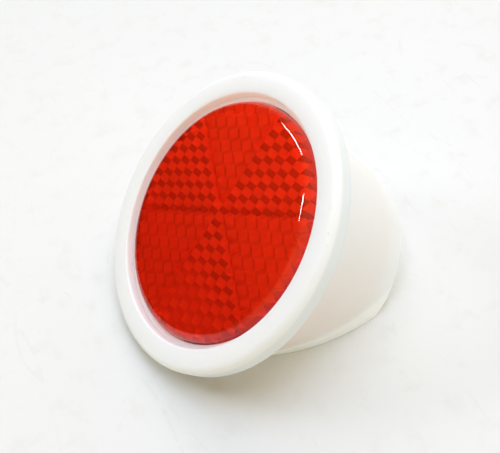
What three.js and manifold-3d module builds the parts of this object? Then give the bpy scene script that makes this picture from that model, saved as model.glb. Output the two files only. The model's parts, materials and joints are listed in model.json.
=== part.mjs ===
// Driveway marker: a white flanged cup that stands tilted on the ground and carries a round red
// reflector in its face. Millimetres, +Z up, the ground is z = 0 and the reflector faces -Y and up.
//
// Every round piece is drawn about its own axis, with s = 0 on the plane of the prism valleys and
// +s out of the reflector's face, and the whole stack is then tipped over onto its foot.

import * as THREE from 'three';
import { mergeVertices } from 'three/addons/utils/BufferGeometryUtils.js';
import Module from 'manifold-3d';

const wasm = await Module();
wasm.setup();

// ---------------------------------------------------------------- driving dimensions

const TILT = THREE.MathUtils.degToRad(40.25); // reflector axis away from the vertical
const LENS_TURN = THREE.MathUtils.degToRad(38.4); // prism rows about the reflector axis
const SEGMENTS = 72; // facets round every turned piece

const FLANGE_R = 50.4; // front rim of the flange
const FLANGE_BACK_R = 50.3; // back rim, less the mould draft
const FLANGE_FACE = 0.85; // s of the flange's front face
const FLANGE_BACK = -5.9; // s of the flange's back face
const FLANGE_ROUND = 2.2; // rounding of the front rim

const RECESS_R = 42.3; // mouth of the recess the reflector sits in
const STEP_FACE = -2.6; // s of the step where the recess narrows to the pocket
const POCKET_R = 40.6; // pocket round the reflector, below the step
const LEDGE = -7.3; // s of the ledge behind the reflector
const LEDGE_THICK = 2.0;
const LEDGE_BORE_R = 33.0; // light passes from the reflector into the cup here

const CUP_TOP_R = 43.7; // outside of the cup where it meets the flange
const CUP_END_R = 35.8; // outside of the cup at its closed end
const CUP_END = -53.0; // s of the closed end
const CUP_WALL = 2.4;
const END_WALL = 3.0;
const END_ROUND = 1.4;

const LENS_R = 40.2;
const LENS_FACE = 1.0; // s of the reflector's front face
const LENS_ROUND = 3.4; // shoulder between the face and the side
const LENS_PLATE = -0.35; // s of the inner side of the lens's front plate
const SKIRT_R = 38.9; // inside of the lens's skirt
const SKIRT_END = -4.6;

const PITCH = 4.88; // between neighbouring prisms
const STEP = PITCH / Math.sqrt(6); // a cube corner drops by this from corner to corner

const PLATE_R = 40.1;
const PLATE_FRONT = -4.9;
const PLATE_THICK = 1.2;
const BEAD_R = 38.6; // ring of adhesive behind the reflector
const BEAD_BORE_R = 34.4;
const BEAD_FRONT = -6.4;
const BEAD_THICK = 0.6;

// ---------------------------------------------------------------- helpers

// A turned solid. The profile is a list of [radius, s] and is closed, or starts and ends on the axis.
// Half a facet of turn puts a flat side of the polygon at the bottom of the tilted flange.
function turned(profile) {
  const points = profile.map(([r, s]) => new THREE.Vector2(r, s));
  const shape = new THREE.LatheGeometry(points, SEGMENTS, Math.PI / SEGMENTS);
  return shape.rotateX(Math.PI / 2);
}

// Points of a quarter-like arc in the profile, angles in degrees.
function arc(r, s, radius, from, to, steps) {
  const points = [];
  for (let i = 0; i <= steps; i += 1) {
    const a = THREE.MathUtils.degToRad(from + ((to - from) * i) / steps);
    points.push([r + radius * Math.cos(a), s + radius * Math.sin(a)]);
  }
  return points;
}

function solid(geometry) {
  const bare = geometry.clone();
  bare.deleteAttribute('normal');
  bare.deleteAttribute('uv');
  const merged = mergeVertices(bare, 1e-4);
  const vertProperties = new Float32Array(merged.attributes.position.array);
  const triVerts = new Uint32Array(merged.index.array);
  return new wasm.Manifold(new wasm.Mesh({ numProp: 3, vertProperties, triVerts }));
}

function surface(body) {
  const mesh = body.getMesh();
  const geometry = new THREE.BufferGeometry();
  geometry.setAttribute('position', new THREE.BufferAttribute(mesh.vertProperties, 3));
  geometry.setIndex(new THREE.BufferAttribute(mesh.triVerts, 1));
  geometry.computeVertexNormals();
  return geometry;
}

function piece(name, geometry, color, roughness) {
  const material = new THREE.MeshStandardMaterial({ color, roughness, metalness: 0 });
  const mesh = new THREE.Mesh(geometry, material);
  mesh.name = name;
  return mesh;
}

// ---------------------------------------------------------------- placing

// The flange's back rim touches the ground, so the height of s = 0 follows from the tilt.
const flat = FLANGE_BACK_R * Math.cos(Math.PI / SEGMENTS);
const HEIGHT = flat * Math.sin(TILT) - FLANGE_BACK * Math.cos(TILT) + 0.02;

const marker = new THREE.Group();
marker.rotation.x = TILT;
marker.position.z = HEIGHT;
marker.updateMatrixWorld(true);

// ---------------------------------------------------------------- housing

// Outside radius of the cup's wall, and the same taper measured along s.
const TAPER = (CUP_TOP_R - CUP_END_R) / (FLANGE_BACK - CUP_END);
const cupRadius = (s) => CUP_TOP_R - TAPER * (FLANGE_BACK - s);
const ledgeBack = LEDGE - LEDGE_THICK;
const cavityEnd = CUP_END + END_WALL;

const housingProfile = [
  [0, CUP_END],
  ...arc(CUP_END_R - END_ROUND, CUP_END + END_ROUND, END_ROUND, -90, -9, 3),
  [CUP_TOP_R, FLANGE_BACK],
  [FLANGE_BACK_R, FLANGE_BACK],
  ...arc(FLANGE_R - FLANGE_ROUND, FLANGE_FACE - FLANGE_ROUND, FLANGE_ROUND, 0, 90, 4),
  ...arc(RECESS_R + 0.7, FLANGE_FACE - 0.6, 0.6, 90, 170, 2),
  [RECESS_R - 0.1, STEP_FACE],
  [POCKET_R, STEP_FACE],
  [POCKET_R, LEDGE],
  [LEDGE_BORE_R, LEDGE],
  [LEDGE_BORE_R, ledgeBack],
  [cupRadius(ledgeBack) - CUP_WALL, ledgeBack],
  [cupRadius(cavityEnd) - CUP_WALL, cavityEnd],
  [0, cavityEnd],
];

// Everything of the cup that would reach below the ground is cut away, which leaves a flat foot.
const ground = new THREE.BoxGeometry(200, 300, 80);
ground.translate(0, 0, -40);
ground.applyMatrix4(marker.matrixWorld.clone().invert());
const housing = solid(turned(housingProfile)).subtract(solid(ground));

marker.add(piece('housing', surface(housing), 0xf1efe8, 0.42));

// ---------------------------------------------------------------- reflector lens

// The back of the lens is a honeycomb of cube corners. Each cell is a hexagon round a shallow apex,
// and its six corners lie one and two steps farther from the face in turn. In every second 60
// degree sector the cells are turned half round, so light from the side is also thrown back.

const FLIPPED = -1;
const UPRIGHT = 1;

function facing(column, row) {
  const x = Math.abs(column + row / 2);
  const upright = row >= 1 ? x >= row / 2 : x <= -row / 2;
  return upright ? UPRIGHT : FLIPPED;
}

const cells = new Map();
const REACH = Math.ceil(SKIRT_R / PITCH) + 1;
for (let row = -REACH - 1; row <= REACH + 1; row += 1) {
  for (let column = -2 * REACH; column <= 2 * REACH; column += 1) {
    const x = PITCH * (column + row / 2);
    const y = PITCH * row * Math.sqrt(0.75);
    if (Math.hypot(x, y) < SKIRT_R + PITCH) {
      cells.set(`${column},${row}`, { x, y, facing: facing(column, row) });
    }
  }
}

// Neighbour of a cell across each of its six sides, starting from the side at 0 degrees.
const NEIGHBOURS = [[1, 0], [0, 1], [-1, 1], [-1, 0], [0, -1], [1, -1]];
const CORNER_R = PITCH / Math.sqrt(3);
const PIN_TOP = LENS_PLATE + 0.2; // the pins are sunk this far into the plate
const NEAR = LENS_PLATE - STEP;
const FAR = LENS_PLATE - 2 * STEP;
const cornerDepth = (cell, k) => ((k % 2 === 1) === (cell.facing === UPRIGHT) ? FAR : NEAR);

const triangles = [];
const triangle = (a, b, c) => triangles.push(...a, ...b, ...c);

for (const [key, cell] of cells) {
  const [column, row] = key.split(',').map(Number);
  const apex = [cell.x, cell.y, LENS_PLATE];
  const centre = [cell.x, cell.y, PIN_TOP];
  const corner = (k, s) => {
    const angle = THREE.MathUtils.degToRad(60 * k - 30);
    return [cell.x + CORNER_R * Math.cos(angle), cell.y + CORNER_R * Math.sin(angle), s];
  };
  for (let side = 0; side < 6; side += 1) {
    const from = corner(side, cornerDepth(cell, side));
    const to = corner(side + 1, cornerDepth(cell, side + 1));
    const [across, up] = NEIGHBOURS[side];
    const neighbour = cells.get(`${column + across},${row + up}`);
    triangle(centre, corner(side, PIN_TOP), corner(side + 1, PIN_TOP));
    if (neighbour && neighbour.facing !== cell.facing) {
      const middle = from.map((value, i) => (value + to[i]) / 2);
      triangle(apex, middle, from);
      triangle(apex, to, middle);
      triangle(from, middle, corner(side, NEAR + FAR - from[2]));
    } else {
      triangle(apex, to, from);
    }
    if (!neighbour) {
      triangle(corner(side, PIN_TOP), corner(side, NEAR), corner(side + 1, NEAR));
      triangle(corner(side, PIN_TOP), corner(side + 1, NEAR), corner(side + 1, PIN_TOP));
      if (to[2] === NEAR) {
        triangle(corner(side, NEAR), from, to);
      } else {
        triangle(from, to, corner(side + 1, NEAR));
      }
    }
  }
}

const honeycomb = new THREE.BufferGeometry();
honeycomb.setAttribute('position', new THREE.Float32BufferAttribute(triangles, 3));

const pinLimit = turned([
  [0, SKIRT_END - 1],
  [SKIRT_R + 0.3, SKIRT_END - 1],
  [SKIRT_R + 0.3, PIN_TOP],
  [0, PIN_TOP],
]);

const lensShell = turned([
  [0, LENS_PLATE],
  [SKIRT_R, LENS_PLATE],
  [SKIRT_R, SKIRT_END],
  [LENS_R, SKIRT_END],
  ...arc(LENS_R - LENS_ROUND, LENS_FACE - LENS_ROUND, LENS_ROUND, 0, 90, 6),
  [0, LENS_FACE],
]);

const lens = solid(lensShell).add(solid(honeycomb).intersect(solid(pinLimit)));
const lensMesh = piece('lens', surface(lens), 0xd4281c, 0.12);
lensMesh.rotation.z = LENS_TURN;
marker.add(lensMesh);

// ---------------------------------------------------------------- reflector back plate

const backPlate = turned([
  [0, PLATE_FRONT - PLATE_THICK],
  [PLATE_R, PLATE_FRONT - PLATE_THICK],
  [PLATE_R, PLATE_FRONT],
  [0, PLATE_FRONT],
]);
marker.add(piece('back_plate', surface(solid(backPlate)), 0xe6dcd4, 0.5));

// ---------------------------------------------------------------- adhesive ring

const bead = turned([
  [BEAD_BORE_R, BEAD_FRONT - BEAD_THICK],
  [BEAD_R, BEAD_FRONT - BEAD_THICK],
  [BEAD_R, BEAD_FRONT],
  [BEAD_BORE_R, BEAD_FRONT],
  [BEAD_BORE_R, BEAD_FRONT - BEAD_THICK],
]);
marker.add(piece('adhesive_ring', surface(solid(bead)), 0xcfc6b4, 0.8));

// ---------------------------------------------------------------- frame

// The origin is under the middle of the marker, on the ground.
const box = new THREE.Box3().setFromObject(marker, true);
marker.position.y -= (box.min.y + box.max.y) / 2;

export default marker;
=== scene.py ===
# %% [markdown]
# # A driveway snow marker, step by step
#
# The marker is a white plastic cup that lies tipped over on the ground. Its wide flange faces up
# and forwards, and a round red reflector sits in the flange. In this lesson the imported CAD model
# gives every size and place, and Blender gives the finer edges and the finishes.

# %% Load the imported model
import json
import math

import bmesh
import bpy
from mathutils import Matrix, Vector


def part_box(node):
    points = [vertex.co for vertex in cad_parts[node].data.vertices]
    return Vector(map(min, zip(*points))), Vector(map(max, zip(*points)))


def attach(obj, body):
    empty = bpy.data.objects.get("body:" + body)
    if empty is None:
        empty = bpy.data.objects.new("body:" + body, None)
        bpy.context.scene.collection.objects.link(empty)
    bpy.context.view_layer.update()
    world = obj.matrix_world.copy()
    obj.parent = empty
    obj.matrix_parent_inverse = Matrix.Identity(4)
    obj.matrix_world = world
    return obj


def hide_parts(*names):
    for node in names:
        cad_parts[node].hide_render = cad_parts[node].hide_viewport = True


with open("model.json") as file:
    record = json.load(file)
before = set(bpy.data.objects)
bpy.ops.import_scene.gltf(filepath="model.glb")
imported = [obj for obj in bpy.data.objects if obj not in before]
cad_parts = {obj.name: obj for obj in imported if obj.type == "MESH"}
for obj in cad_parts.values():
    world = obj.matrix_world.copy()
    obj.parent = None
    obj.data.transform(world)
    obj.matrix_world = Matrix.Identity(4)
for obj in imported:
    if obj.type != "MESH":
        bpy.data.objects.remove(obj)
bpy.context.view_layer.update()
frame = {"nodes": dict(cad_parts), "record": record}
record = frame["record"]
MM = 0.001

# %% [markdown]
# ## Where the reflector's axis lies
#
# Every round piece is easiest to model standing up, with its axis along Z, and to tip over at the
# end. The record holds all that is needed: the flange's back is a flat mount whose axis points
# backwards along the reflector's axis, and the place of the mount says where that axis passes.

# %% Find the tilt and the middle of the reflector
mounts = {mount["name"]: mount for mount in record["mounts"]}
back_place = Vector(mounts["flange_back"]["pos_m"])
back_axis = Vector(mounts["flange_back"]["axis"])
TILT = math.atan2(back_axis.y, -back_axis.z)
FLANGE_BACK = -5.9 * MM  # height of the flange's back along the axis
tip = Matrix.Rotation(TILT, 3, "X")
CENTRE = back_place - tip @ Vector((back_place.x, 0, FLANGE_BACK))
print("tilt:", round(math.degrees(TILT), 2), "middle in mm:", [round(v / MM, 2) for v in CENTRE])

# %% [markdown]
# ## Small helpers for modelling by hand
#
# An operator acts on whatever is selected, so each step first clears the selection and then picks
# its vertices, edges or faces by place. Heights are measured along the reflector's axis.


# %% Selecting
def clear():
    """Leave edit mode and select nothing."""
    if bpy.context.object and bpy.context.object.mode != "OBJECT":
        bpy.ops.object.mode_set(mode="OBJECT")
    bpy.ops.object.select_all(action="DESELECT")


def alone(piece, mode="OBJECT"):
    """Select only this piece, make it active and go to the mode."""
    clear()
    piece.select_set(True)
    bpy.context.view_layer.objects.active = piece
    bpy.ops.object.mode_set(mode=mode)


def pick_edges(piece, test):
    """In edit mode, select the edges that pass the test, and count them."""
    bpy.ops.mesh.select_mode(type="EDGE")
    bpy.ops.mesh.select_all(action="DESELECT")
    mesh = bmesh.from_edit_mesh(piece.data)
    chosen = [edge for edge in mesh.edges if test(edge)]
    for edge in chosen:
        edge.select_set(True)
    mesh.select_flush_mode()
    bmesh.update_edit_mesh(piece.data)
    return len(chosen)


print("helpers for selecting are ready")

# %% [markdown]
# ## Turning on a lathe, edge by edge
#
# All the round pieces are made as on a lathe. A circle is extruded from ring to ring through the
# corners of the section, and the two ends are closed by faces. Edges on a given ring can then be
# rounded by a bevel. Closed pieces are joined or cut with a Boolean modifier, applied at once.

# %% Turning and joining
SIDES = 256


def on_ring(radius, height, slack=0.02 * MM):
    """A test for edges whose two ends lie on the ring of this radius and height."""
    def test(edge):
        return all(
            abs(end.co.z - height) < slack and abs(end.co.xy.length - radius) < slack
            for end in edge.verts
        )
    return test


def turned(name, rings, sides=SIDES):
    """Walk a circle through a list of (radius, height) rings, then close both ends."""
    radius, height = rings[0]
    clear()
    bpy.ops.mesh.primitive_circle_add(vertices=sides, radius=radius, location=(0, 0, height))
    piece = bpy.context.object
    piece.name = piece.data.name = name
    bpy.ops.object.transform_apply(location=True)
    bpy.ops.object.mode_set(mode="EDIT")
    for new_radius, new_height in rings[1:]:
        bpy.ops.mesh.extrude_edges_move()
        grow = new_radius / radius
        bpy.ops.transform.resize(value=(grow, grow, 1), center_override=(0, 0, 0))
        bpy.ops.transform.translate(value=(0, 0, new_height - height))
        radius, height = new_radius, new_height
    bpy.ops.mesh.select_mode(type="EDGE")
    bpy.ops.mesh.select_all(action="DESELECT")
    bpy.ops.mesh.select_non_manifold()
    bpy.ops.mesh.edge_face_add()
    bpy.ops.mesh.select_all(action="SELECT")
    bpy.ops.mesh.normals_make_consistent(inside=False)
    return piece


def round_ring(piece, radius, height, size, steps):
    """Round the edge that runs along one ring."""
    count = pick_edges(piece, on_ring(radius, height))
    bpy.ops.mesh.bevel(offset=size, segments=steps, profile=0.5, affect="EDGES")
    print(f"  rounded a ring of {count} edges by {size / MM:.2f} mm")


def combine(piece, other, operation):
    """Join, cut or keep what two closed pieces share, and throw the second one away."""
    alone(piece)
    joint = piece.modifiers.new("combine", "BOOLEAN")
    joint.operation = operation
    joint.object = other
    joint.solver = "MANIFOLD"
    bpy.ops.object.modifier_apply(modifier=joint.name)
    bpy.data.objects.remove(other)


def tip_over(piece):
    """Tip a finished upright piece onto its place, and leave its object at the origin."""
    alone(piece)
    piece.rotation_euler = (TILT, 0, 0)
    piece.location = CENTRE
    bpy.ops.object.transform_apply(location=True, rotation=True, scale=True)


print("every turned piece gets", SIDES, "sides")

# %% [markdown]
# ## The housing
#
# The housing is one moulding: a tapered cup with a closed end, a wide flange round its mouth and a
# ledge inside the flange for the reflector. Walking a circle through the corners of its section
# gives the whole skin in one go, inside and out, and most corners then get their own rounding.

# %% Sizes of the housing
INSIDE_BOX = 0.01 * MM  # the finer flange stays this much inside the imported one
FLANGE_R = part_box("housing")[1].x - INSIDE_BOX
FLANGE_BACK_R = FLANGE_R - 0.1 * MM
FLANGE_FACE = 0.85 * MM
MOUTH_R = 42.4 * MM
STEP_R = 42.2 * MM
STEP = -2.6 * MM
POCKET_R = 40.56 * MM
LEDGE = -7.3 * MM
LEDGE_BACK = -9.3 * MM
BORE_R = 33.0 * MM
CUP_TOP_R = 43.65 * MM
CUP_END_R = 35.66 * MM
CUP_END = -53.0 * MM
WALL = 2.4 * MM
INNER_END = -50.0 * MM
taper = (CUP_TOP_R - CUP_END_R) / (FLANGE_BACK - CUP_END)


def inner_radius(height):
    """The inside of the cup's tapered wall at this height."""
    return CUP_TOP_R - taper * (FLANGE_BACK - height) - WALL


print("flange radius in mm:", round(FLANGE_R / MM, 2), "taper:", round(taper, 3))

# %% Turn the housing
cup = turned("cup_body", [
    (CUP_END_R, CUP_END),
    (CUP_TOP_R, FLANGE_BACK),
    (FLANGE_BACK_R, FLANGE_BACK),
    (FLANGE_R, FLANGE_FACE),
    (MOUTH_R, FLANGE_FACE),
    (STEP_R, STEP),
    (POCKET_R, STEP),
    (POCKET_R, LEDGE),
    (BORE_R, LEDGE),
    (BORE_R, LEDGE_BACK),
    (inner_radius(LEDGE_BACK), LEDGE_BACK),
    (inner_radius(INNER_END), INNER_END),
])
roundings = [  # radius, height, size of the rounding in mm, steps
    (CUP_END_R, CUP_END, 1.4, 6),
    (CUP_TOP_R, FLANGE_BACK, 0.8, 4),
    (FLANGE_BACK_R, FLANGE_BACK, 0.45, 3),
    (FLANGE_R, FLANGE_FACE, 2.2, 10),
    (MOUTH_R, FLANGE_FACE, 0.55, 4),
    (STEP_R, STEP, 0.5, 3),
    (POCKET_R, STEP, 0.25, 2),
    (BORE_R, LEDGE, 0.35, 2),
    (inner_radius(INNER_END), INNER_END, 1.2, 4),
]
for radius, height, size, steps in roundings:
    round_ring(cup, radius, height, size * MM, steps)
tip_over(cup)
print("housing skin:", len(cup.data.vertices), "points")

# %% [markdown]
# ## The foot
#
# The cup stands on a flat foot: everything that would reach below the ground is cut away. A big
# block under the ground does the cutting, and the fresh edge gets a small rounding of its own.
# One fault is left here. The foot should be an open ring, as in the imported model, but merging the
# short edges leaves two flat faces that lie on each other and close it.

# %% Cut the foot flat
BLOCK_WIDTH = 0.3
BLOCK_DEPTH = 0.1
SMALL_EDGE = 0.3 * MM  # shorter edges on the fresh border are merged before the bevel
FOOT_ROUND = 0.45 * MM
clear()
bpy.ops.mesh.primitive_cube_add(size=1, location=(0, 0, -BLOCK_DEPTH / 2))
ground_block = bpy.context.object
ground_block.scale = (BLOCK_WIDTH, BLOCK_WIDTH, BLOCK_DEPTH)
bpy.ops.object.transform_apply(location=True, rotation=True, scale=True)
combine(cup, ground_block, "DIFFERENCE")
alone(cup, "EDIT")


def on_ground(edge):
    """An edge with both ends at ground level."""
    return all(abs(end.co.z) < 0.005 * MM for end in edge.verts)


def foot_border(edge):
    """An edge between the flat foot and a wall."""
    flats = [abs(face.normal.z) > 0.999 for face in edge.link_faces]
    return on_ground(edge) and any(flats) and not all(flats)


pick_edges(cup, foot_border)
bpy.ops.mesh.remove_doubles(threshold=SMALL_EDGE)
border = pick_edges(cup, foot_border)
bpy.ops.mesh.bevel(offset=FOOT_ROUND, segments=3, profile=0.5, affect="EDGES", clamp_overlap=True)
bpy.ops.object.mode_set(mode="OBJECT")
print("foot border:", border, "edges")

# %% [markdown]
# ## Smooth shading
#
# The turned skin has flat faces. Smooth shading by angle hides the small steps round the piece and
# leaves real corners sharp.

# %% Smooth the housing
SHARP_ANGLE = math.radians(35)
alone(cup)
bpy.ops.object.shade_smooth_by_angle(angle=SHARP_ANGLE)
print("housing:", len(cup.data.polygons), "faces")

# %% [markdown]
# ## The reflector's lens
#
# The back of the lens is a honeycomb of cube corners, which throw light back where it came from.
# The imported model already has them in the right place, so a copy of its lens is trimmed to a disc
# of prisms, and a smooth front plate with a rounded shoulder and a skirt is turned around them.

# %% Sizes of the lens
LENS_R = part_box("lens")[1].x - 0.03 * MM
LENS_FACE = 1.0 * MM
LENS_TURN = math.radians(38.4)  # the prism rows are turned this far round the axis
SHOULDER = 3.4 * MM
PLATE_INSIDE = -0.35 * MM
SKIRT_R = 38.7 * MM
SKIRT_END = -4.6 * MM
PRISM_R = 38.82 * MM  # just into the skirt, so that the two pieces join
PRISM_LOW = -4.45 * MM
PRISM_HIGH = -0.2 * MM
print("lens radius in mm:", round(LENS_R / MM, 2))

# %% Trim the prisms
prisms = frame["nodes"]["lens"].copy()
prisms.data = frame["nodes"]["lens"].data.copy()
prisms.parent = None
prisms.name = prisms.data.name = "prisms"
for note in list(prisms.keys()):
    del prisms[note]
bpy.context.scene.collection.objects.link(prisms)
prisms.data.transform(tip.inverted().to_4x4() @ Matrix.Translation(-CENTRE))
alone(prisms, "EDIT")
bpy.ops.mesh.select_all(action="SELECT")
bpy.ops.mesh.remove_doubles(threshold=0.002 * MM)
bpy.ops.mesh.select_all(action="DESELECT")
bpy.ops.mesh.select_mode(type="EDGE")
bpy.ops.mesh.select_non_manifold()
print("loose edges in the prisms:", prisms.data.total_edge_sel)
cutter = turned("cutter", [(PRISM_R, PRISM_LOW), (PRISM_R, PRISM_HIGH)])
alone(cutter)
combine(prisms, cutter, "INTERSECT")
print("prisms:", len(prisms.data.polygons), "faces")

# %% [markdown]
# ## The front plate of the lens
#
# The plate is turned like the housing. Its rounded shoulder is what catches the bright streaks, so
# it gets many steps. The trimmed prisms are then joined to its back as one closed piece of acrylic.

# %% Turn the front plate and its skirt
lens = turned("reflector_lens", [
    (SKIRT_R, PLATE_INSIDE),
    (SKIRT_R, SKIRT_END),
    (LENS_R, SKIRT_END),
    (LENS_R, LENS_FACE),
])
round_ring(lens, LENS_R, LENS_FACE, SHOULDER, 14)
alone(lens)
combine(lens, prisms, "UNION")
bpy.ops.object.shade_smooth_by_angle(angle=math.radians(28))
tip_over(lens)
print("lens:", len(lens.data.polygons), "faces")

# %% [markdown]
# ## Effects that more than one finish uses
#
# Moulded plastic is never quite even: it has a fine grain, broad cloudy tones and a few hair
# scratches from handling. Each effect is a node group with its own dials, built once and placed in
# every material that needs it. All read Object coordinates, so they stay fixed to the piece.

# %% Node helpers
def material(name):
    """A new node material, with its nodes, its links and its Principled shader."""
    made = bpy.data.materials.new(name)
    made.use_nodes = True
    tree = made.node_tree
    return made, tree, tree.nodes["Principled BSDF"]


def node(tree, kind, inputs=(), **settings):
    """Add a node, set its options, and link or fill its inputs."""
    made = tree.nodes.new("ShaderNode" + kind)
    for key, value in settings.items():
        setattr(made, key, value)
    for socket, value in dict(inputs).items():
        if isinstance(value, bpy.types.NodeSocket):
            tree.links.new(value, made.inputs[socket])
        else:
            made.inputs[socket].default_value = value
    return made


def math_node(tree, operation, first, second=0.0):
    """One sum on two values."""
    return node(tree, "Math", {0: first, 1: second}, operation=operation).outputs[0]


def ramp(tree, value, low, high, smooth=True):
    """0 below low, 1 above high, and a soft step between; low may be the larger one."""
    made = node(tree, "MapRange", {"Value": value, "From Min": low, "From Max": high})
    made.interpolation_type = "SMOOTHSTEP" if smooth else "LINEAR"
    return made.outputs["Result"]


def mixed(tree, factor, first, second):
    """A colour between two colours."""
    made = node(tree, "Mix", {"Factor": factor}, data_type="RGBA")
    for socket, value in (("A", first), ("B", second)):
        target = [s for s in made.inputs if s.name == socket and s.type == "RGBA"][0]
        if isinstance(value, bpy.types.NodeSocket):
            tree.links.new(value, target)
        else:
            target.default_value = value
    return [s for s in made.outputs if s.type == "RGBA"][0]


def new_group(name, inputs, outputs):
    """An empty node group with named number sockets, and its two end nodes."""
    tree = bpy.data.node_groups.new(name, "ShaderNodeTree")
    for socket, value in inputs.items():
        made = tree.interface.new_socket(socket, in_out="INPUT", socket_type="NodeSocketFloat")
        made.default_value = value
    for socket in outputs:
        tree.interface.new_socket(socket, in_out="OUTPUT", socket_type="NodeSocketFloat")
    return tree, tree.nodes.new("NodeGroupInput"), tree.nodes.new("NodeGroupOutput")


def place_group(tree, group, **inputs):
    """Put a group into a material with its own values, and hand back its outputs."""
    made = tree.nodes.new("ShaderNodeGroup")
    made.node_tree = group
    for socket, value in inputs.items():
        made.inputs[socket.replace("_", " ")].default_value = value
    return made.outputs


print("helpers for materials are ready")

# %% [markdown]
# ### Grain, scratches and place
#
# The grain is a very fine noise with a slow one beside it. A scratch is a thin line along which a
# stretched noise crosses its middle value. The third group tells every finish where it is on the
# marker: along the reflector's axis, out from it, and above the ground.

# %% Group: mould grain
# Fine is the height of the grain, Cloud a slow change of tone between 0 and 1.
mould_grain, ends_in, ends_out = new_group(
    "mould_grain", {"Grain scale": 2600.0, "Cloud scale": 45.0}, ("Fine", "Cloud")
)
spot = node(mould_grain, "TexCoord").outputs["Object"]
fine = node(mould_grain, "TexNoise", {
    "Vector": spot, "Scale": ends_in.outputs["Grain scale"], "Detail": 3.0, "Roughness": 0.6})
cloud = node(mould_grain, "TexNoise", {
    "Vector": spot, "Scale": ends_in.outputs["Cloud scale"], "Detail": 2.0, "Roughness": 0.5})
mould_grain.links.new(fine.outputs[0], ends_out.inputs["Fine"])
mould_grain.links.new(cloud.outputs[0], ends_out.inputs["Cloud"])
print("made group:", mould_grain.name)

# %% Group: hair scratches
# The thin lines are broken up by a second noise, so that only some of them are kept.
scratches, ends_in, ends_out = new_group(
    "hair_scratches", {"Scale": 60.0, "Width": 0.006, "Share": 0.45}, ("Mask",)
)
spot = node(scratches, "TexCoord").outputs["Object"]
stretched = node(scratches, "Mapping", {
    "Vector": spot, "Rotation": (0.4, 0.9, 0.6), "Scale": (1.0, 5.0, 2.0)}).outputs[0]
lines = node(scratches, "TexNoise", {
    "Vector": stretched, "Scale": ends_in.outputs["Scale"], "Detail": 1.0}).outputs[0]
off_middle = math_node(scratches, "ABSOLUTE", math_node(scratches, "SUBTRACT", lines, 0.5))
thin = math_node(scratches, "LESS_THAN", off_middle, ends_in.outputs["Width"])
patches = node(scratches, "TexNoise", {"Vector": spot, "Scale": 90.0, "Detail": 1.0}).outputs[0]
kept = math_node(scratches, "LESS_THAN", patches, ends_in.outputs["Share"])
scratches.links.new(math_node(scratches, "MULTIPLY", thin, kept), ends_out.inputs["Mask"])
print("made group:", scratches.name)

# %% Group: place on the marker
# Along is the distance along the reflector's axis, Out the distance from it, Up the height above
# the ground, and Side the place across the marker, all in millimetres.
where, ends_in, ends_out = new_group("place_on_marker", {}, ("Along", "Out", "Up", "Side"))
spot = node(where, "TexCoord").outputs["Object"]
axis = tip @ Vector((0, 0, 1))
from_middle = node(where, "VectorMath", {0: spot, 1: CENTRE}, operation="SUBTRACT").outputs[0]
along = node(where, "VectorMath", {0: from_middle, 1: axis}, operation="DOT_PRODUCT")
along = along.outputs["Value"]
foot_point = node(where, "VectorMath", {0: axis, "Scale": along}, operation="SCALE").outputs[0]
sideways = node(where, "VectorMath", {0: from_middle, 1: foot_point}, operation="SUBTRACT")
out = node(where, "VectorMath", {0: sideways.outputs[0]}, operation="LENGTH").outputs["Value"]
parts = node(where, "SeparateXYZ", {0: spot})
for name, value in (("Along", along), ("Out", out), ("Up", parts.outputs[2]),
                    ("Side", parts.outputs[0])):
    where.links.new(math_node(where, "MULTIPLY", value, 1 / MM), ends_out.inputs[name])
print("made group:", where.name)

# %% [markdown]
# ## The white plastic
#
# The cup is milky polyethylene that lets some light through. Subsurface scattering makes it soft.
# The same grain that clouds its tone also varies its gloss a little.

# %% White plastic
MILK = (0.950, 0.950, 0.935, 1)
MILK_CLOUD = (0.925, 0.925, 0.905, 1)
white, tree, surface = material("white_plastic")
surface.inputs["IOR"].default_value = 1.5
surface.inputs["Subsurface Weight"].default_value = 0.6
surface.inputs["Subsurface Radius"].default_value = (1.0, 0.9, 0.8)
surface.inputs["Subsurface Scale"].default_value = 0.004
grain = place_group(tree, mould_grain, Grain_scale=2200.0, Cloud_scale=38.0)
hairs = place_group(tree, scratches, Scale=40.0, Width=0.004, Share=0.42)
at = place_group(tree, where)
milk = mixed(tree, grain["Cloud"], MILK, MILK_CLOUD)
shine = node(tree, "MapRange", {"Value": grain["Cloud"], "To Min": 0.36, "To Max": 0.48})
tree.links.new(shine.outputs[0], surface.inputs["Roughness"])
height = math_node(tree, "SUBTRACT", grain["Fine"], math_node(
    tree, "MULTIPLY", hairs["Mask"], 0.8))
bump = node(tree, "Bump", {"Height": height, "Strength": 0.22, "Distance": 0.06 * MM})
tree.links.new(bump.outputs[0], surface.inputs["Normal"])
cup.data.materials.clear()
cup.data.materials.append(white)
print("finish on the housing:", white.name)

# %% [markdown]
# ### Painted red light and painted rim shade
#
# Light that comes in through the red reflector and shines out again through the wall is painted
# into the colour as a pink tint: painted red light, strongest low down next to the flange and left
# out near the closed end and along the foot. The side of the rim gets painted shade, a cooler grey.

# %% Painted red light and painted rim shade
# Painted red light: the pink below stands in for red light coming through the lens.
PAINTED_RED_LIGHT_COLOUR = (0.93, 0.79, 0.74, 1)
# Painted shade: a darker, cooler white for the side of the rim.
RIM_PAINTED_SHADE = (0.82, 0.845, 0.85, 1)
off_end = ramp(tree, at["Along"], -49.0, -39.0)
off_foot = ramp(tree, at["Up"], 4.0, 11.0)
off_flange = ramp(tree, at["Along"], -5.6, -6.2)
low_down = ramp(tree, at["Up"], 52.0, 16.0)
near_flange = math_node(tree, "ADD", math_node(tree, "MULTIPLY", ramp(
    tree, at["Along"], -45.0, -8.0), 0.55), 0.45)
# Painted red light, masked by place along the axis and by height above the ground.
painted_red_light = off_end
for factor in (off_foot, off_flange, low_down, near_flange):
    painted_red_light = math_node(tree, "MULTIPLY", painted_red_light, factor)
with_painted_red_light = mixed(tree, painted_red_light, milk, PAINTED_RED_LIGHT_COLOUR)
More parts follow.
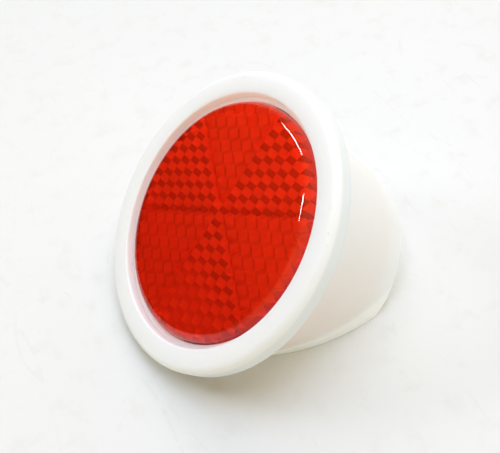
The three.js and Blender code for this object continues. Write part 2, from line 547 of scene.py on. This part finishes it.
# Painted shade on the side of the rim, just behind the flange's face and far out from the axis.
painted_rim_shade = math_node(tree, "MULTIPLY", ramp(tree, at["Along"], -0.8, -2.0), ramp(
    tree, at["Out"], 49.4, 49.9))
with_painted_light_and_shade = mixed(tree, painted_rim_shade, with_painted_red_light, RIM_PAINTED_SHADE)
print("blush between the flange and the closed end")

# %% [markdown]
# ### Nicks and scratches
#
# Handling has left three nicks on the rim of the flange. Each is a small ball round a place, and a
# noise shifts the place about, so that its edge is ragged.

# %% Nicks on the rim
WORN = (0.66, 0.65, 0.61, 1)
NICKS = (  # place in mm, size in mm
    ((34.9, 13.6, 58.9), 0.8),
    ((40.2, 10.3, 56.0), 0.8),
    ((41.9, 7.6, 53.7), 0.5),
)
spot = node(tree, "TexCoord").outputs["Object"]
ragged = node(tree, "TexNoise", {"Vector": spot, "Scale": 700.0, "Detail": 2.0}).outputs["Color"]
for operation, inputs in (
    ("SUBTRACT", {1: (0.5, 0.5, 0.5)}), ("SCALE", {"Scale": 4.5 * MM}), ("ADD", {1: spot}),
):
    ragged = node(tree, "VectorMath", {0: ragged, **inputs}, operation=operation).outputs[0]
nicks = 0.0
for place, size in NICKS:
    apart = node(tree, "VectorMath", {0: ragged, 1: Vector(place) * MM}, operation="DISTANCE")
    nick = ramp(tree, apart.outputs["Value"], size * MM, 0.6 * size * MM)
    nicks = math_node(tree, "ADD", nicks, math_node(tree, "MULTIPLY", nick, 0.45))
hair_marks = math_node(tree, "MULTIPLY", hairs["Mask"], 0.10)
marked = mixed(tree, math_node(tree, "ADD", hair_marks, nicks), with_painted_light_and_shade, WORN)
tree.links.new(marked, surface.inputs["Base Color"])
print("nicks on the rim:", len(NICKS))

# %% [markdown]
# ### Daylight through thin places
#
# Two thin places, the foot edge and the top of the recess, let a little daylight through. It is a
# faint light of their own here, painted by a mask into the colour of the emission.

# %% Daylight through thin places
DAYLIGHT = (0.96, 1.0, 0.92, 1)
in_recess = math_node(tree, "MULTIPLY", ramp(tree, at["Out"], 42.9, 42.3), ramp(
    tree, at["Along"], -7.0, -5.0))
high_up = ramp(tree, at["Up"], 30.0, 62.0)
low_wall = math_node(tree, "MULTIPLY", ramp(tree, at["Up"], 9.0, 5.0), off_flange)
let_through = math_node(tree, "ADD", math_node(tree, "MULTIPLY", in_recess, high_up), math_node(
    tree, "MULTIPLY", low_wall, 0.6))
daylight = mixed(tree, let_through, (0, 0, 0, 1), DAYLIGHT)
surface.inputs["Emission Strength"].default_value = 0.15
tree.links.new(daylight, surface.inputs["Emission Color"])
print("faint light at the foot edge and in the recess")

# %% [markdown]
# ## The red acrylic
#
# The front of the lens is clear red acrylic, so it is plain glass with a red tint. The only marks
# on it are a few hair scratches, which are rougher than the polish around them.

# %% Clear red acrylic
red, tree, surface = material("red_acrylic")
surface.inputs["Base Color"].default_value = (0.93, 0.05, 0.012, 1)
surface.inputs["IOR"].default_value = 1.49
surface.inputs["Transmission Weight"].default_value = 1.0
hairs = place_group(tree, scratches, Scale=34.0, Width=0.003, Share=0.40)
polish = node(tree, "MapRange", {"Value": hairs["Mask"], "To Min": 0.025, "To Max": 0.16})
tree.links.new(polish.outputs[0], surface.inputs["Roughness"])
lens.data.materials.clear()
lens.data.materials.append(red)
print("finish on the lens:", red.name)

# %% [markdown]
# ## The prisms
#
# The prisms work as mirrors, and a path tracer needs thousands of samples to find the light in
# hundreds of tiny mirrors. So their faces get an opaque finish of their own. It is bright, with a
# painted glow of its own for what real prisms send back, and its red is painted lighter towards the
# top. Facets that let light through get painted shade: broad ones in every second sector, more of it
# higher up, and narrow ones in the others. A facet is known by the way it faces.

# %% Prism faces
# Painted light: a glow, a red that is lighter higher up, and painted shade on some facets.
PRISM_GLOW = 0.18
PRISM_RED_PAINTED_SHADE_LOW = (0.72, 0.27, 0.15, 1)
PRISM_RED_PAINTED_LIGHT_HIGH = (0.92, 0.52, 0.36, 1)
PRISM_CLOUD = (0.60, 0.20, 0.11, 1)
PAINTED_GLOW_TINT = (1.0, 0.2, 0.12)  # light from behind crosses the red plate only once
PAINTED_SHADE_FACETS = ((30, 0.20), (-30, 0.12), (-90, 0.13))  # direction in degrees, how much darker
facets, tree, surface = material("red_prisms")
surface.inputs["Roughness"].default_value = 0.5
surface.inputs["IOR"].default_value = 1.49
surface.inputs["Emission Strength"].default_value = PRISM_GLOW
at = place_group(tree, where)
grain = place_group(tree, mould_grain, Grain_scale=900.0, Cloud_scale=160.0)
direction = node(tree, "NewGeometry").outputs["True Normal"]
turn = tip @ Matrix.Rotation(LENS_TURN, 3, "Z")


def facing_facet(degrees):
    """1 on the facets whose slope points this way round the reflector's axis, else 0."""
    around = math.radians(degrees)
    steep = math.sqrt(2 / 3)
    aim = turn @ Vector((steep * math.cos(around), steep * math.sin(around), -math.sqrt(1 / 3)))
    lean = node(tree, "VectorMath", {0: direction, 1: aim}, operation="DOT_PRODUCT")
    either_side = math_node(tree, "ABSOLUTE", lean.outputs["Value"])
    return ramp(tree, either_side, 0.9, 0.94)


print("facets are told apart by direction, rows turned by", round(math.degrees(LENS_TURN), 1))

# %% Painted light and shade on the facets
# Painted shade on facets that let light through, stronger on the broad ones higher up.
painted_shade_by_height = math_node(tree, "ADD", math_node(
    tree, "MULTIPLY", ramp(tree, at["Up"], 20.0, 30.0), 0.24), 0.08)
painted_facet_shade = math_node(tree, "MULTIPLY", facing_facet(90), painted_shade_by_height)
for degrees, darker in PAINTED_SHADE_FACETS:
    faint = math_node(tree, "MULTIPLY", facing_facet(degrees), darker)
    painted_facet_shade = math_node(tree, "ADD", painted_facet_shade, faint)
# Painted light: the red is lighter towards the top.
painted_top_light_red = mixed(tree, ramp(tree, at["Up"], 14.0, 58.0), PRISM_RED_PAINTED_SHADE_LOW, PRISM_RED_PAINTED_LIGHT_HIGH)
varied = mixed(tree, math_node(tree, "MULTIPLY", grain["Cloud"], 0.22), painted_top_light_red, PRISM_CLOUD)
light_share = math_node(tree, "SUBTRACT", 1.0, painted_facet_shade)
painted_facet_colour = node(tree, "VectorMath", {0: varied, "Scale": light_share}, operation="SCALE").outputs[0]
# Painted glow: the emission colour is the facet colour with a red tint.
painted_glow = node(tree, "VectorMath", {0: painted_facet_colour, 1: PAINTED_GLOW_TINT}, operation="MULTIPLY").outputs[0]
tree.links.new(painted_facet_colour, surface.inputs["Base Color"])
tree.links.new(painted_glow, surface.inputs["Emission Color"])
print("facet tones:", 1 + len(PAINTED_SHADE_FACETS), "and the plain one")

# %% Give the prism faces their finish
SLACK = 0.01 * MM
lens.data.materials.append(facets)
prism_faces = 0
for face in lens.data.polygons:
    place = tip.inverted() @ (face.center - CENTRE)
    if place.z < PLATE_INSIDE + SLACK and place.xy.length < SKIRT_R + SLACK:
        face.material_index = 1
        prism_faces += 1
print("prism faces:", prism_faces)

# %% [markdown]
# ## The plate and the adhesive
#
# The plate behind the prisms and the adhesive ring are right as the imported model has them. They lie
# inside the housing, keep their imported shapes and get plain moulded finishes.

# %% Plate and adhesive
for name, light, shade, rough in (
    ("back_plate", (0.86, 0.83, 0.79, 1), (0.78, 0.74, 0.70, 1), 0.5),
    ("adhesive_ring", (0.80, 0.76, 0.68, 1), (0.66, 0.61, 0.52, 1), 0.75),
):
    slot = next(part["material_slot"] for part in record["subparts"] if part["node"] == name)
    finish, tree, surface = material(slot)
    grain = place_group(tree, mould_grain, Grain_scale=1500.0, Cloud_scale=120.0)
    tree.links.new(mixed(tree, grain["Cloud"], light, shade), surface.inputs["Base Color"])
    dull = node(tree, "MapRange", {"Value": grain["Fine"], "To Min": rough - 0.08,
                                   "To Max": rough + 0.08})
    tree.links.new(dull.outputs[0], surface.inputs["Roughness"])
    bump = node(tree, "Bump", {"Height": grain["Fine"], "Strength": 0.3, "Distance": 0.1 * MM})
    tree.links.new(bump.outputs[0], surface.inputs["Normal"])
    kept_node = frame["nodes"][name]
    kept_node.data.materials.clear()
    kept_node.data.materials.append(finish)
    print("finish on", name, "is", slot)

# %% [markdown]
# ## Attaching the pieces
#
# Each finer piece is hung on the root body, and the imported node that it stands for is hidden.

# %% Attach each piece and hide its imported node
for piece, cad_node, slot in ((cup, "housing", "white_plastic"), (lens, "lens", "red_acrylic")):
    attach(piece, "root")
    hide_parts(cad_node)
    print(piece.name, "stands for", cad_node)

# %% [markdown]
# ## The floor
#
# The marker stands on plain pale paper with a faint mottle and a few scuffs. Far behind it gets
# painted shade, a little darker, which keeps the back of the floor from looking burnt out.

# %% Floor
PAPER = (0.775, 0.77, 0.755, 1)
PAPER_CLOUD = (0.745, 0.74, 0.725, 1)
PAPER_PAINTED_SHADE = (0.70, 0.705, 0.70, 1)
PAPER_WORN = (0.68, 0.665, 0.62, 1)
clear()
bpy.ops.mesh.primitive_plane_add(size=6, location=(0, 0, -0.05 * MM))
floor = bpy.context.object
floor.name = "floor"
paper, tree, surface = material("floor_paper")
surface.inputs["Roughness"].default_value = 0.7
grain = place_group(tree, mould_grain, Grain_scale=700.0, Cloud_scale=14.0)
sheet = mixed(tree, grain["Cloud"], PAPER, PAPER_CLOUD)
# Painted shade: the paper turns darker far behind the marker.
painted_far_shade = ramp(tree, place_group(tree, where)["Side"], -40.0, -300.0)
sheet = mixed(tree, painted_far_shade, sheet, PAPER_PAINTED_SHADE)
mottle = place_group(tree, mould_grain, Grain_scale=110.0, Cloud_scale=55.0)
scuffs = place_group(tree, scratches, Scale=11.0, Width=0.006, Share=0.42)
blotch = math_node(tree, "MULTIPLY", ramp(tree, mottle["Fine"], 0.5, 0.75), 0.35)
worn = math_node(tree, "ADD", math_node(tree, "MULTIPLY", scuffs["Mask"], 0.25), blotch)
tree.links.new(mixed(tree, worn, sheet, PAPER_WORN), surface.inputs["Base Color"])
bump = node(tree, "Bump", {"Height": grain["Fine"], "Strength": 0.15, "Distance": 0.1 * MM})
tree.links.new(bump.outputs[0], surface.inputs["Normal"])
floor.data.materials.append(paper)
print("floor finish:", paper.name)

# %% [markdown]
# ## The room
#
# A warm glow from everywhere fills the shadows. One side of the room is left dark, because the flat
# face of the reflector would mirror it.

# %% Room
scene = bpy.context.scene
DARK_SIDE = Vector((-0.668, -0.687, 0.284))
ROOM_GLOW = (1.0, 0.86, 0.41, 1)
DARK_WALL = (0.05, 0.04, 0.02, 1)
world = bpy.data.worlds.new("studio")
scene.world = world
world.use_nodes = True
tree = world.node_tree
background = tree.nodes["Background"]
towards = node(tree, "TexCoord").outputs["Generated"]
lean = node(tree, "VectorMath", {0: towards, 1: DARK_SIDE}, operation="DOT_PRODUCT")
dark_wall = ramp(tree, lean.outputs["Value"], 0.45, 0.85)
glow = mixed(tree, dark_wall, ROOM_GLOW, DARK_WALL)
tree.links.new(glow, background.inputs["Color"])
background.inputs["Strength"].default_value = 0.605
print("room:", world.name)

# %% [markdown]
# ## The lamps
#
# Five soft boxes stand above, behind and beside the marker. They leave no image of themselves in
# shiny pieces. Two thin bright tubes do only that: each is a crisp streak on the lens's shoulder.


# %% Lamps
LAMP_DISTANCE = 1.3


def lamp_shape(name, width, height, watts, color):
    """A flat lamp that shines along its own -Z."""
    data = bpy.data.lights.new(name, "AREA")
    data.shape = "RECTANGLE"
    data.size = width
    data.size_y = height
    data.energy = watts
    data.color = color
    lamp = bpy.data.objects.new(name, data)
    scene.collection.objects.link(lamp)
    return lamp


def softbox(name, aim, distance, size, color):
    """A square soft light in the given direction, which leaves no image of itself in the lens."""
    lamp = lamp_shape(name, size, size, 10 * max(color), [part / max(color) for part in color])
    lamp.location = Vector(aim).normalized() * distance
    lamp.rotation_euler = (-lamp.location).to_track_quat("-Z", "Y").to_euler()
    lamp.visible_glossy = False


def tube(name, start, end, width, watts):
    """A thin bright tube between two directions, there only for a crisp streak on the lens."""
    start = Vector(start).normalized() * LAMP_DISTANCE
    end = Vector(end).normalized() * LAMP_DISTANCE
    middle = (start + end) / 2
    length_way = (end - start).normalized()
    away = (middle - middle.dot(length_way) * length_way).normalized()
    lamp = lamp_shape(name, width, (end - start).length, watts, (1, 1, 1))
    turn_lamp = Matrix((length_way.cross(away), length_way, away)).transposed()
    lamp.matrix_world = Matrix.Translation(middle) @ turn_lamp.to_4x4()
    lamp.visible_diffuse = False


softbox("overhead", (0.05, 0.1, 1), 1.2, 0.9, (0.65, 0.78, 1.07))
softbox("behind", (-0.3, 1, 0.8), 1.4, 1.2, (0.33, 0.33, 0.37))
softbox("far_side", (-1, 0.3, 0.7), 1.4, 1.0, (0.58, 0.58, 0.65))
softbox("right", (1, 0.8, 0.5), LAMP_DISTANCE, 1.2, (0.06, 0.10, 0.24))
softbox("front_key", (-0.45, -0.6, 0.65), LAMP_DISTANCE, 0.4, (0.30, 0.31, 0.34))
tube("far_tube", (-0.70, -0.30, 0.65), (-0.38, -0.03, 0.92), 0.07, 7.0)
tube("near_tube", (-0.34, -0.53, 0.78), (-0.51, -0.68, 0.53), 0.05, 2.2)
scene.view_settings.view_transform = "Standard"

# %% [markdown]
# ## The camera
#
# The camera looks down on the marker from its right, a little tilted. It is set by its place, and
# by which ways its right side and its top point.

# %% Camera
camera_data = bpy.data.cameras.new("camera")
camera_data.lens = 70.1
camera_data.sensor_width = 36
camera = bpy.data.objects.new("camera", camera_data)
scene.collection.objects.link(camera)
scene.camera = camera
right = Vector((0.41795, 0.89966, -0.12624))
up = Vector((-0.63765, 0.38949, 0.66461))
back = right.cross(up)
facing = Matrix((right, up, back)).transposed()
camera.matrix_world = Matrix.Translation((0.20872, -0.06414, 0.26413)) @ facing.to_4x4()
camera_data.clip_start = 0.01
print("camera lens in mm:", round(camera_data.lens, 1))
